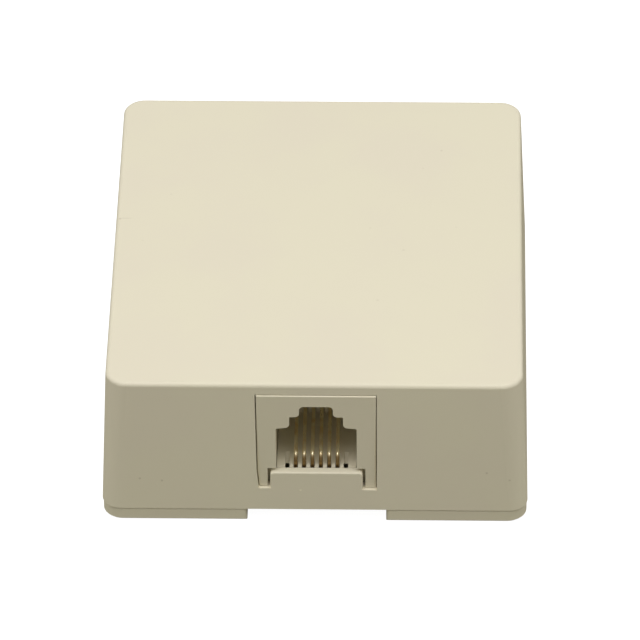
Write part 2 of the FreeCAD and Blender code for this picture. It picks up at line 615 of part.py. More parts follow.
def make_jack_housing():
    """Jack insert: face plate with two legs, a body behind it, and the stepped port through both."""
    body = new_body("jack_housing")
    place(body, "jack_offset")
    face = new_sketch(body, "face_outline", "XZ_Plane", "body_front")
    polygon(face, [("-panel_half_low", "left_leg_bottom"), ("-leg_half", "left_leg_bottom"),
                   ("-leg_half", "leg_arch"), ("leg_half", "leg_arch"), ("leg_half", "panel_bottom"),
                   ("panel_half", "panel_bottom"), ("panel_half", "panel_top"), ("-panel_half", "panel_top"),
                   ("-panel_half_floor", "floor_level")])
    pad(body, face, "panel_thickness", "face_plate")
    block = new_sketch(body, "block_outline", "XZ_Plane", "body_back")
    rectangle(block, "-body_half", "body_half", "body_bottom", "body_top")
    pad(body, block, "body_depth", "block")
    ears = new_sketch(body, "ear_outline", "XZ_Plane", "ear_back")
    rectangle(ears, "body_half", "ear_half", "ear_bottom", "ear_top")
    rectangle(ears, "-ear_half", "-body_half", "ear_bottom", "ear_top")
    pad(body, ears, "ear_depth", "stop_ears")

    port = new_sketch(body, "port_outline", "XZ_Plane", "panel_front")
    polygon(port, [("-port_half", "panel_bottom"), ("port_half", "panel_bottom"),
                   ("port_half", "port_shoulder"), ("key_half", "port_top"), ("key_half", "key_top"),
                   ("latch_half", "key_top"), ("latch_half", "latch_top"), ("-latch_half", "latch_top"),
                   ("-latch_half", "key_top"), ("-key_half", "key_top"), ("-key_half", "port_top"),
                   ("-port_half", "port_shoulder")])
    pocket(body, port, "port_depth", "port")
    recess = new_sketch(body, "carrier_recess_outline", "XZ_Plane", "panel_front")
    rectangle(recess, "-port_half", "port_half", "panel_bottom", "recess_top")
    pocket(body, recess, None, "carrier_recess")
    for radius, name, corners in (
            ("port_corner", "port_rounding",
             [("key_half", "port_top"), ("latch_half", "key_top"), ("latch_half", "latch_top")]),
            ("port_nook", "port_nook_rounding", [("port_half", "port_shoulder"), ("key_half", "key_top")])):
        round_edges(body, radius, name,
                    lambda edge, middle: is_fore_and_aft(edge)
                    and any(near(abs(middle.x), x) and near(middle.z, z) for x, z in corners))
    round_edges(body, "panel_edge", "face_rounding",
                lambda edge, middle: near(-middle.y, "panel_front") and edge.Length > size("face_margin")
                and (near(middle.z, "panel_top") or abs(middle.x) > size("body_half")))


def make_contact_carrier():
    """Port floor with the front comb, the wire channels below it and the slotted rear comb."""
    body = new_body("contact_carrier")
    place(body, "jack_offset")
    bed = new_sketch(body, "bed_outline", "XZ_Plane", "body_back")
    rectangle(bed, "-carrier_half", "carrier_half", "carrier_bottom", "floor_level")
    pad(body, bed, "carrier_depth", "bed")
    comb = new_sketch(body, "comb_outline", "XZ_Plane", "body_back")
    rectangle(comb, "-carrier_half", "carrier_half", "carrier_bottom", "comb_top")
    pad(body, comb, "comb_depth", "rear_comb")

    front = new_sketch(body, "front_slot_outline", "YZ_Plane", "first_slot_side")
    polygon(front, [("-carrier_front", "carrier_bottom"), ("-carrier_front", "floor_level"),
                    ("-front_slot_back", "floor_level"), ("-ramp_end", "ramp_level"),
                    ("nose_centre", "channel_top"), ("-channel_back", "channel_top"),
                    ("-channel_back", "carrier_bottom")])
    rear = new_sketch(body, "tip_slot_outline", "XY_Plane", "floor_level", "first_slot")
    rectangle(rear, "-slot_half", "slot_half", "-comb_front", "-tip_slot_back")
    slots = [pocket(body, front, "comb_slot", "front_slot", flip=True),
             pocket(body, rear, None, "tip_slot", flip=True)]
    row = body.newObject("PartDesign::LinearPattern", "comb_slots")
    row.Originals = slots
    row.Direction = (next(item for item in body.Origin.OriginFeatures if item.Role == "X_Axis"), [""])
    row.Occurrences = int(size("comb_slots"))
    bind(row, "Length", "slot_row")
    settle(body, row, grows=False)


def make_contact(number):
    """One spring contact: a run under the port floor, a bend round the front and a sloping spring to its tip."""
    body = new_body(f"contact_{number}")
    place(body, f"contact_place_{number}")
    path = new_sketch(body, f"contact_path_{number}", "YZ_Plane")
    bend_y, level, radius = size("nose_centre"), size("contact_level"), size("nose_radius")
    centre = Vector(bend_y, level + radius, 0)
    tip = Vector(size("contact_tip"), size("tip_level"), 0)
    reach = (tip - centre).Length
    leave = math.atan2(tip.y - centre.y, tip.x - centre.x) + math.acos(radius / reach)
    touch = centre + Vector(radius * math.cos(leave), radius * math.sin(leave), 0)
    foot = Vector(bend_y, level, 0)
    front = centre - Vector(radius, 0, 0)
    path.addGeometry(Part.LineSegment(Vector(size("contact_tail"), level, 0), foot))
    path.addGeometry(Part.Arc(foot, front, touch))
    path.addGeometry(Part.LineSegment(touch, tip))
    pin_point(path, 0, 1, "contact_tail", "contact_level")
    path.addConstraint(Sketcher.Constraint("Horizontal", 0))
    arc_start = 2 if path.getPoint(1, 2).distanceToPoint(foot) < radius / 100 else 1
    path.addConstraint(Sketcher.Constraint("Tangent", 0, 2, 1, arc_start))
    path.addConstraint(Sketcher.Constraint("Tangent", 1, 3 - arc_start, 2, 1))
    bend = path.addConstraint(Sketcher.Constraint("Radius", 1, radius))
    bind(path, f"Constraints[{bend}]", "nose_radius")
    middle = path.addConstraint(Sketcher.Constraint("DistanceX", -1, 1, 1, 3, bend_y))
    bind(path, f"Constraints[{middle}]", "nose_centre")
    pin_point(path, 2, 2, "contact_tip", "tip_level")
    section = new_sketch(body, f"contact_section_{number}", "XZ_Plane", "-contact_tail")
    circle(section, "contact_wire_radius", None, "contact_level")
    wire = body.newObject("PartDesign::AdditivePipe", f"contact_wire_{number}")
    wire.Profile = section
    wire.Spine = (path, ["Edge1", "Edge2", "Edge3"])
    settle(body, wire, grows=True)


def make_insert(number, x, y, turn):
    """Threaded brass insert, pressed into its post."""
    body = new_body(f"terminal_insert_{number}")
    place(body, x, y, turn)
    ring = new_sketch(body, f"insert_outline_{number}", "XY_Plane", "insert_bottom")
    circle(ring, "insert_radius")
    circle(ring, "bore_radius")
    pad(body, ring, "insert_length", f"insert_ring_{number}")


def make_washer(number, x, y, turn):
    """Flat washer held under the screw head."""
    body = new_body(f"terminal_washer_{number}")
    place(body, x, y, turn)
    ring = new_sketch(body, f"washer_outline_{number}", "XY_Plane", "lug_top")
    circle(ring, "washer_radius")
    circle(ring, "bore_radius")
    pad(body, ring, "washer_thickness", f"washer_ring_{number}")


def make_screw(number, x, y, turn):
    """Binding screw with a rounded pan head and one driver slot."""
    body = new_body(f"terminal_screw_{number}")
    place(body, x, y, turn)
    head = new_sketch(body, f"head_outline_{number}", "XY_Plane", "washer_top")
    circle(head, "head_radius")
    pad(body, head, "head_height", f"head_{number}")
    round_edges(body, "head_edge", f"head_rounding_{number}", lambda edge, middle: near(middle.z, "head_top"))
    shank = new_sketch(body, f"shank_outline_{number}", "XY_Plane", "screw_tip")
    circle(shank, "shank_radius")
    pad(body, shank, "screw_reach", f"shank_{number}")
    groove = new_sketch(body, f"drive_outline_{number}", "XY_Plane", "head_top")
    rectangle(groove, "-head_radius", "head_radius", "-drive_slot_half", "drive_slot_half")
    pocket(body, groove, "drive_slot_depth", f"drive_slot_{number}")


def make_lug(number, x, y, turn):
    """Spade lug: a slotted fork under the washer, a neck, and a barrel crimped on the lead."""
    body = new_body(f"spade_lug_{number}")
    place(body, x, y, turn)
    fork = new_sketch(body, f"fork_outline_{number}", "XY_Plane", "post_top")
    polygon(fork, [("-lug_tip", "-lug_half"), ("lug_shoulder", "-lug_half"),
                   ("lug_root", "-lug_neck_half"), ("lug_tail", "-lug_neck_half"),
                   ("lug_tail", "lug_neck_half"), ("lug_root", "lug_neck_half"),
                   ("lug_shoulder", "lug_half"), ("-lug_tip", "lug_half"),
                   ("-lug_tip", "lug_slot_half"), ("lug_slot_end", "lug_slot_half"),
                   ("lug_slot_end", "-lug_slot_half"), ("-lug_tip", "-lug_slot_half")])
    pad(body, fork, "lug_thickness", f"fork_{number}")
    barrel = new_sketch(body, f"barrel_outline_{number}", "YZ_Plane", "barrel_start")
    circle(barrel, "barrel_radius", None, "barrel_axis")
    pad(body, barrel, "barrel_length", f"barrel_{number}")
    bore = new_sketch(body, f"barrel_bore_outline_{number}", "YZ_Plane", "barrel_end")
    circle(bore, "barrel_bore", None, "barrel_axis")
    pocket(body, bore, "lead_insertion", f"barrel_bore_{number}")


def smooth_run(points):
    """A path of straight runs joined by tangent arcs, each as large as its two runs allow."""
    edges = []
    radii = []
    here = points[0]
    for before, corner, after in zip(points, points[1:], points[2:]):
        inward, outward = before - corner, after - corner
        turn = math.pi - inward.getAngle(outward)
        trim = RUN_SHARE * min(inward.Length, outward.Length)
        inward.normalize()
        outward.normalize()
        start, end = corner + inward * trim, corner + outward * trim
        radius = trim / math.tan(turn / 2)
        middle = corner + (inward + outward).normalize() * (radius / math.cos(turn / 2) - radius)
        edges.append(Part.LineSegment(here, start).toShape())
        edges.append(Part.Arc(start, middle, end).toShape())
        radii.append(radius)
        here = end
    edges.append(Part.LineSegment(here, points[-1]).toShape())
    return Part.Wire(edges), radii


def make_lead(number, side, row, high):
    """One insulated lead from the jack's rear face to its lug, folded once so that the cover can lift away."""
    level = size("lead_row_high") if high else size("lead_row_low")
    out_x, out_y = size(f"contact_place_{number}"), -size("body_back")
    end_y, end_z = size(f"terminal_row_{row}"), size("barrel_axis")
    low = size("lead_low") + level - size("lead_row_low")
    inner, outer = out_x + side * size("lead_fan"), side * size("lead_return")
    seat, bend = side * size("lead_seat"), size("lead_bend")
    fold = abs(outer - inner) / 2
    fold_y = end_y + size("lead_loop")
    shoulder, crown = fold * math.tan(math.radians(30)), fold / math.cos(math.radians(30))
    cut = bend * (1 - math.tan(math.radians(22.5)))
    points = [Vector(out_x, out_y, level),
              Vector(out_x, out_y + bend, level),
              Vector(inner, (out_y + fold_y) / 2, low),
              Vector(inner - side * 0.2, fold_y + shoulder, low),
              Vector((inner + outer) / 2, fold_y + crown, low + 0.3),
              Vector(outer, fold_y + shoulder, low + 0.7),
              Vector(outer, end_y + cut, (low + 2 * end_z) / 3),
              Vector(outer + side * cut, end_y, end_z),
              Vector(seat, end_y, end_z)]
    spine, radii = smooth_run(points)
    ring = Part.Circle(points[0], Vector(0, 1, 0), size("barrel_bore"))
    lead = doc.addObject("Part::Feature", f"lead_{number}")
    lead.Label = f"lead_{number}"
    lead.Shape = spine.makePipeShell([Part.Wire(ring.toShape())], True, False)
    sub_parts.append(lead)
    swept = spine.Length * math.pi * size("barrel_bore") ** 2
    print(f"lead_{number}: {spine.Length:.1f} mm, smallest bend {min(radii):.1f} mm, "
          f"volume to swept volume {lead.Shape.Volume / swept:.4f}")


def check_and_export():
    """Stops on a failed object or a bad shape, then writes one STEP file for each sub-part."""
    doc.recompute()
    for item in doc.Objects:
        if "Invalid" in item.State or "Error" in item.State:
            raise RuntimeError(f"{item.Name} failed: {item.State}")
    for part in sub_parts:
        shape = part.Shape
        if shape.isNull() or not shape.isValid() or len(shape.Solids) != 1:
            raise RuntimeError(f"{part.Label} has a bad shape with {len(shape.Solids)} solids")
    os.makedirs("parts", exist_ok=True)
    for part in sub_parts:
        part.Shape.exportStep(f"parts/{part.Label}.step")
        box = part.Shape.BoundBox
        print(f"{part.Label:20s} {box.XLength:7.2f} {box.YLength:7.2f} {box.ZLength:7.2f} "
              f"from {box.XMin:7.2f} {box.YMin:7.2f} {box.ZMin:7.2f}")


fill_sheet()
make_cover()
make_base_plate()
make_jack_housing()
make_contact_carrier()
TERMINALS = [(-1, 1), (-1, 2), (-1, 3), (1, 3), (1, 2), (1, 1)]
for number, (side, row) in enumerate(TERMINALS, start=1):
    make_contact(number)
    post_x = "terminal_side" if side > 0 else "-terminal_side"
    spot = (number, post_x, f"terminal_row_{row}", 180.0 if side > 0 else 0.0)
    make_insert(*spot)
    make_lug(*spot)
    make_washer(*spot)
    make_screw(*spot)
    make_lead(number, side, row, high=number % 2 == 0)
check_and_export()
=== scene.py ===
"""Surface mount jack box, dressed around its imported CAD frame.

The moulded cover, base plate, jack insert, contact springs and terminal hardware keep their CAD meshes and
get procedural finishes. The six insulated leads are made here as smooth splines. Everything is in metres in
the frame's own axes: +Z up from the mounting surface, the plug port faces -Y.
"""

from __future__ import annotations

import logging
import math
from dataclasses import dataclass
from enum import Enum
from typing import Any, Mapping, Optional, Sequence, Union

import bpy
from mathutils import Matrix, Vector

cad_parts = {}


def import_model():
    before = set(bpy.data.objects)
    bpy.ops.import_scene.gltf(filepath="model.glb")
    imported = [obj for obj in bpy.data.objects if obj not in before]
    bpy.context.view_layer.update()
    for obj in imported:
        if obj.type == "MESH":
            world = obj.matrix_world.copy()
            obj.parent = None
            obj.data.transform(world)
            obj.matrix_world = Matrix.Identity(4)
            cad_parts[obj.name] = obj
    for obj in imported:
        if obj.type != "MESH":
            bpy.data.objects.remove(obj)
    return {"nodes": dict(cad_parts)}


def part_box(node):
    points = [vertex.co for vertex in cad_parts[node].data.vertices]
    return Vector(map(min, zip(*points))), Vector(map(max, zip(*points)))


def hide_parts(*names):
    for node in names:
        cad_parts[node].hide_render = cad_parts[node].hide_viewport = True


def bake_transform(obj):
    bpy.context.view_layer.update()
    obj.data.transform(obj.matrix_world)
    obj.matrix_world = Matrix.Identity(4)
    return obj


LOG = logging.getLogger("jack_box")
MM = 0.001
POLES = range(1, 7)

Triple = tuple[float, float, float]
Colour = Triple
Mark = tuple[float, float, float, float]
Number = Union[float, "Signal"]


def ink(red: int, green: int, blue: int) -> Colour:
    """Turns a colour written in 0 to 255 screen values into linear light.

    Args:
        red: Red, 0 to 255.
        green: Green, 0 to 255.
        blue: Blue, 0 to 255.

    Returns:
        The linear colour.
    """

    def linear(value: int) -> float:
        """One channel through the standard screen curve."""
        share = value / 255
        return share / 12.92 if share <= 0.04045 else ((share + 0.055) / 1.055) ** 2.4

    return linear(red), linear(green), linear(blue)


def tinted(colour: Colour, shares: Triple) -> Colour:
    """A colour with each of its channels multiplied by a share."""
    return tuple(channel * share for channel, share in zip(colour, shares))


class Body(str, Enum):
    """The CAD bodies that the leads join."""

    BASE = "base"
    COVER = "cover_assembly"


class Signal:
    """One shader socket that takes part in Python arithmetic."""

    def __init__(self, recipe: "Recipe", socket: bpy.types.NodeSocket) -> None:
        """Wraps an output socket of a recipe's tree."""
        self.recipe = recipe
        self.socket = socket

    def _math(self, operation: str, *values: Number) -> "Signal":
        """Adds a Math node that works on the given values."""
        return self.recipe.node("ShaderNodeMath", {"operation": operation}, dict(enumerate(values)))

    def __add__(self, other: Number) -> "Signal":
        """self + other."""
        return self._math("ADD", self, other)

    __radd__ = __add__

    def __sub__(self, other: Number) -> "Signal":
        """self - other."""
        return self._math("SUBTRACT", self, other)

    def __rsub__(self, other: Number) -> "Signal":
        """other - self."""
        return self._math("SUBTRACT", other, self)

    def __mul__(self, other: Number) -> "Signal":
        """self * other."""
        return self._math("MULTIPLY", self, other)

    __rmul__ = __mul__

    def __pow__(self, other: Number) -> "Signal":
        """self ** other."""
        return self._math("POWER", self, other)

    def __rpow__(self, other: Number) -> "Signal":
        """other ** self."""
        return self._math("POWER", other, self)

    def __abs__(self) -> "Signal":
        """The size of self without its sign."""
        return self._math("ABSOLUTE", self)

    def sine(self) -> "Signal":
        """The sine of self, in radians."""
        return self._math("SINE", self)

    def wrap(self, low: float, high: float) -> "Signal":
        """self folded into the span from low to high."""
        return self._math("WRAP", self, high, low)

    def about(self, middle: float, swing: float) -> "Signal":
        """A noise from 0 to 1 turned into a value that swings about a middle."""
        return middle + (self - 0.5) * swing

    def step(self, start: float, end: float) -> "Signal":
        """A smooth step from 0 at start to 1 at end.

        Args:
            start: The value of self where the step begins.
            end: The value where it is complete, which may be below start.

        Returns:
            The step, kept between 0 and 1.
        """
        low, high = sorted((start, end))
        first, last = (0.0, 1.0) if start <= end else (1.0, 0.0)
        return self.recipe.node(
            "ShaderNodeMapRange", {"interpolation_type": "SMOOTHSTEP"},
            {"Value": self, "From Min": low, "From Max": high, "To Min": first, "To Max": last})


class Recipe:
    """A procedural material, or the world, under construction."""

    def __init__(self, name: str, world: bool = False) -> None:
        """Starts an empty node tree.

        Args:
            name: The name of the new material or world.
            world: Whether it is a world.
        """
        self.owner = (bpy.data.worlds if world else bpy.data.materials).new(name)
        self.owner.use_nodes = True
        self.tree = self.owner.node_tree
        self.tree.nodes.clear()
        self.ending = "ShaderNodeOutputWorld" if world else "ShaderNodeOutputMaterial"

    def node(self, kind: str, settings: Mapping[str, Any], inputs: Mapping[Any, Any],
             output: Union[int, str, None] = 0) -> Optional[Signal]:
        """Adds one node.

        Args:
            kind: The node's type name.
            settings: The node's own properties, set before its sockets.
            inputs: Values or signals by socket name or number.
            output: The output socket to return, by name or number, or None where the node has none.

        Returns:
            The chosen output.
        """
        made = self.tree.nodes.new(kind)
        for key, value in settings.items():
            setattr(made, key, value)
        for key, value in inputs.items():
            if isinstance(value, Signal):
                self.tree.links.new(value.socket, made.inputs[key])
            else:
                made.inputs[key].default_value = value
        return None if output is None else Signal(self, made.outputs[output])

    def place(self) -> Signal:
        """The point on the piece at rest, in millimetres."""
        spot = self.node("ShaderNodeTexCoord", {}, {}, "Object")
        return self.node("ShaderNodeMapping", {}, {"Vector": spot, "Scale": (1 / MM,) * 3})

    def axes(self, spot: Signal) -> tuple[Signal, Signal, Signal]:
        """The three coordinates of a point."""
        split = self.node("ShaderNodeSeparateXYZ", {}, {"Vector": spot}).socket.node
        return tuple(Signal(self, coordinate) for coordinate in split.outputs)

    def noise(self, spot: Signal, pitch: float, detail: float = 2.0, roughness: float = 0.5) -> Signal:
        """Smooth random variation about one half.

        Args:
            spot: The point in millimetres.
            pitch: The size of its features in millimetres.
            detail: How many finer layers it has.
            roughness: How strong the finer layers are.

        Returns:
            The variation, from 0 to 1.
        """
        return self.node(
            "ShaderNodeTexNoise", {},
            {"Vector": spot, "Scale": 1 / pitch, "Detail": detail, "Roughness": roughness})

    def mix(self, share: Number, first: Union[Colour, Signal], second: Union[Colour, Signal]) -> Signal:
        """Blends two colours.

        Args:
            share: How much of the second colour shows.
            first: The colour at share 0.
            second: The colour at share 1.

        Returns:
            The blended colour.
        """
        ends = [end if isinstance(end, Signal) else (*end, 1.0) for end in (first, second)]
        return self.node(
            "ShaderNodeMix", {"data_type": "RGBA"}, {"Factor": share, "A": ends[0], "B": ends[1]}, "Result")

    def bump(self, height: Signal, depth: float) -> Signal:
        """Surface relief from a height signal.

        Args:
            height: The relief, from 0 to 1.
            depth: How deep a height of 1 is, in millimetres.

        Returns:
            The bent normal.
        """
        return self.node(
            "ShaderNodeBump", {}, {"Strength": 1.0, "Distance": depth * MM, "Height": height}, "Normal")

    def close(self, shader: Signal) -> Union[bpy.types.Material, bpy.types.World]:
        """Links a shader to the output and hands over the finished material or world."""
        self.node(self.ending, {}, {"Surface": shader}, None)
        return self.owner

    def finish(self, **sockets: Any) -> bpy.types.Material:
        """Closes the tree with a Principled shader.

        Args:
            **sockets: Values or signals by socket name, with an underscore for each space.

        Returns:
            The material.
        """
        inputs = {name.replace("_", " "): value for name, value in sockets.items()}
        return self.close(self.node("ShaderNodeBsdfPrincipled", {}, inputs))


class Tone(Enum):
    """Colours of the marks, as shares of the plastic's own colour."""

    BROWN = (0.36, 0.28, 0.2)
    PALE = (1.2, 1.2, 1.22)


@dataclass(frozen=True)
class Speck:
    """A mark moulded into or lying on the plastic.

    Attributes:
        spot: Its middle, in millimetres.
        reach: How far it spreads, in millimetres.
        depth: How much of its tone shows, from 0 to 1.
        stretch: How much longer than wide it is, along X.
        tone: Its colour.
        core: Share of its reach that shows the whole depth.
    """

    spot: Triple
    reach: float
    depth: float
    stretch: float = 1.0
    tone: Tone = Tone.BROWN
    core: float = 0.3

    def share(self, recipe: Recipe, place: Signal) -> Signal:
        """Works out how much of the mark covers a point.

        Args:
            recipe: The plastic's recipe.
            place: The point in millimetres.

        Returns:
            The share, from 0 to the mark's depth.
        """
        offset = recipe.node("ShaderNodeVectorMath", {"operation": "SUBTRACT"}, {0: place, 1: self.spot})
        drawn = recipe.node(
            "ShaderNodeVectorMath", {"operation": "MULTIPLY"}, {0: offset, 1: (1 / self.stretch, 1.0, 1.0)})
        away = recipe.node("ShaderNodeVectorMath", {"operation": "LENGTH"}, {0: drawn}, "Value")
        return away.step(self.reach, self.reach * self.core) * self.depth


@dataclass(frozen=True)
class MouldedPlastic:
    """Ivory ABS from a spark-eroded mould: a fine satin grain, faint clouding and a few specks.

    Attributes:
        name: The material's name.
        colour: The plastic's own colour.
        shade: The colour of its faint clouds.
        roughness: Roughness of the satin surface.
        uneven: How far the grain changes the roughness.
        gloss: Level of its mirror-like share.
        cloud: Size of the clouds, in millimetres.
        turn: Noise levels between which the colour turns into the shade.
        grain: Size of the mould's grain, in millimetres.
        relief: Depth of the grain, in millimetres.
        wave: Size of the slow waves in the wall, in millimetres.
        swell: Depth of the waves, as a share of the grain's.
        specks: Marks, with their places in millimetres.
    """

    name: str
    colour: Colour
    shade: Colour
    roughness: float = 0.46
    uneven: float = 0.16
    gloss: float = 0.3
    cloud: float = 14.0
    turn: tuple[float, float] = (0.35, 0.65)
    grain: float = 0.16
    relief: float = 0.006
    wave: float = 5.0
    swell: float = 1.5
    specks: tuple[Speck, ...] = ()

    def material(self) -> bpy.types.Material:
        """Builds the finish.

        Returns:
            The material.
        """
        recipe = Recipe(self.name)
        spot = recipe.place()
        cloud = recipe.noise(spot, self.cloud, detail=3.0)
        colour = recipe.mix(cloud.step(*self.turn), self.colour, self.shade)
        fine = recipe.noise(spot, self.grain, detail=3.0, roughness=0.6)
        wave = recipe.noise(spot, self.wave, detail=1.0)
        for tone in Tone:
            shares = [speck.share(recipe, spot) for speck in self.specks if speck.tone is tone]
            if shares:
                colour = recipe.mix(sum(shares[1:], shares[0]), colour, tinted(self.colour, tone.value))
        return recipe.finish(
            Base_Color=colour,
            Roughness=fine.about(self.roughness, self.uneven),
            Normal=recipe.bump(fine + wave * self.swell, self.relief),
            Specular_IOR_Level=self.gloss)


@dataclass(frozen=True)
class GoldWire:
    """Gold flash over nickel on a drawn spring wire, with brown painted shade round its front bend.

    Attributes:
        name: The material's name.
        colour: The gold.
        worn: Its slightly browner patches.
        bend_shade: The brown painted shade round the front bend, which turns away from the light.
        bend: Where the front bend starts along Y, in millimetres.
        fade: Length over which the painted shade fades in, in millimetres.
        metallic: How much of the surface is bright metal, the rest being matt.
        roughness: Roughness of the bright metal.
        uneven: How far the patches change the roughness.
        patch: Size of the patches, in millimetres.
        turn: Noise levels between which the gold turns into the worn patches.
    """

    name: str
    colour: Colour
    worn: Colour
    # Brown painted shade for the front bend.
    bend_shade: Colour
    bend: float
    fade: float = 0.7
    metallic: float = 0.8
    roughness: float = 0.3
    uneven: float = 0.15
    patch: float = 1.3
    turn: tuple[float, float] = (0.4, 0.7)

    def material(self) -> bpy.types.Material:
        """Builds the finish.

        Returns:
            The material.
        """
        recipe = Recipe(self.name)
        spot = recipe.place()
        patch = recipe.noise(spot, self.patch, detail=3.0)
        _, along, _ = recipe.axes(spot)
        # Painted shade: the front bend, which turns away from the light, darkens to brown.
        shaded = along.step(self.bend, self.bend - self.fade)
        gold = recipe.mix(patch.step(*self.turn), self.colour, self.worn)
        return recipe.finish(
            Base_Color=recipe.mix(shaded, gold, self.bend_shade),
            Metallic=self.metallic,
            Roughness=patch.about(self.roughness, self.uneven))


@dataclass(frozen=True)
class Insulation:
    """Extruded lead insulation: soft satin vinyl with faint waves.

    Attributes:
        name: The material's name.
        colour: The vinyl's own colour.
        shade: Share of its light left in the darker patches.
        roughness: Roughness of the satin surface.
        uneven: How far the waves change the roughness.
        wave: Size of the waves, in millimetres.
        swell: Depth of the waves, as a share of the grain's.
        turn: Noise levels between which the colour turns darker.
        grain: Size of the fine grain, in millimetres.
        relief: Depth of the grain, in millimetres.
    """

    name: str
    colour: Colour
    shade: float = 0.82
    roughness: float = 0.42
    uneven: float = 0.15
    wave: float = 1.6
    swell: float = 2.0
    turn: tuple[float, float] = (0.3, 0.75)
    grain: float = 0.12
    relief: float = 0.006

    def material(self) -> bpy.types.Material:
        """Builds the finish.

        Returns:
            The material.
        """
        recipe = Recipe(self.name)
        spot = recipe.place()
        wave = recipe.noise(spot, self.wave)
        fine = recipe.noise(spot, self.grain)
        return recipe.finish(
            Base_Color=recipe.mix(wave.step(*self.turn), self.colour, tinted(self.colour, (self.shade,) * 3)),
            Roughness=wave.about(self.roughness, self.uneven),
            Normal=recipe.bump(wave * self.swell + fine, self.relief))


@dataclass(frozen=True)
class SheetMetal:
    """Stamped and plated sheet: a rolled grain along X and dull patches.

    Attributes:
        name: The material's name.
        colour: The plating's colour.
        dull: The colour of its dull patches.
        roughness: Roughness of the plating.
        uneven: How far the patches change the roughness.
        grain: How fine the rolled grain is along X, Y and Z.
        relief: Depth of the grain, in millimetres.
        patch: Size of the patches, in millimetres.
        swell: Depth of the patches, as a share of the grain's.
        turn: Noise levels between which the plating turns dull.
    """

    name: str
    colour: Colour
    dull: Colour
    roughness: float = 0.365
    uneven: float = 0.25
    grain: Triple = (0.6, 9.0, 9.0)
    relief: float = 0.008
    patch: float = 1.8
    swell: float = 0.5
    turn: tuple[float, float] = (0.35, 0.75)

    def material(self) -> bpy.types.Material:
        """Builds the finish.

        Returns:
            The material.
        """
        recipe = Recipe(self.name)
        spot = recipe.place()
        drawn = recipe.node("ShaderNodeMapping", {}, {"Vector": spot, "Scale": self.grain})
        rolled = recipe.noise(drawn, 1.0, detail=3.0)
        patch = recipe.noise(spot, self.patch, detail=4.0)
        return recipe.finish(
            Base_Color=recipe.mix(patch.step(*self.turn), self.colour, self.dull),
            Metallic=1.0,
            Roughness=patch.about(self.roughness, self.uneven),
            Normal=recipe.bump(rolled + patch * self.swell, self.relief))


@dataclass(frozen=True)
class TurnedMetal:
    """Turned and plated metal whose tool marks run round each terminal's axis.

    Attributes:
        name: The material's name.
        colour: The metal's colour.
        stain: The colour of its duller patches.
        side: How far the terminals' axes stand from the middle, in millimetres.
        front: Where the front row's axes are along Y, in millimetres.
        spacing: From one row to the next, in millimetres.
        roughness: Roughness of the bright metal.
        uneven: How far the patches change the roughness.
        marks: How close the tool marks are, in radians per millimetre.
        relief: Depth of the marks, in millimetres.
        patch: Size of the patches, in millimetres.
        turn: Noise levels between which the metal turns into the stain.
    """

    name: str
    colour: Colour
    stain: Colour
    side: float
    front: float
    spacing: float
    roughness: float = 0.302
    uneven: float = 0.22
    marks: float = 34.0
    relief: float = 0.005
    patch: float = 1.4
    turn: tuple[float, float] = (0.45, 0.75)

    def material(self) -> bpy.types.Material:
        """Builds the finish.

        Returns:
            The material.
        """
        recipe = Recipe(self.name)
        spot = recipe.place()
        x, y, _ = recipe.axes(spot)
        across = abs(x) - self.side
        along = (y - self.front).wrap(-self.spacing / 2, self.spacing / 2)
        away = (across * across + along * along) ** 0.5
        marks = (away * self.marks).sine() * 0.5 + 0.5
        patch = recipe.noise(spot, self.patch, detail=3.0)
        return recipe.finish(
            Base_Color=recipe.mix(patch.step(*self.turn), self.colour, self.stain),
            Metallic=1.0,
            Roughness=patch.about(self.roughness, self.uneven),
            Normal=recipe.bump(marks + patch, self.relief))


def paint(piece: bpy.types.Object, material: bpy.types.Material) -> None:
    """Gives every face of a piece one material.

    Args:
        piece: The piece.
        material: Its finish.
    """
    if not piece.material_slots:
        piece.data.materials.append(material)
    for place in piece.material_slots:
        place.material = material
    LOG.info("%s: %s", piece.name, material.name)


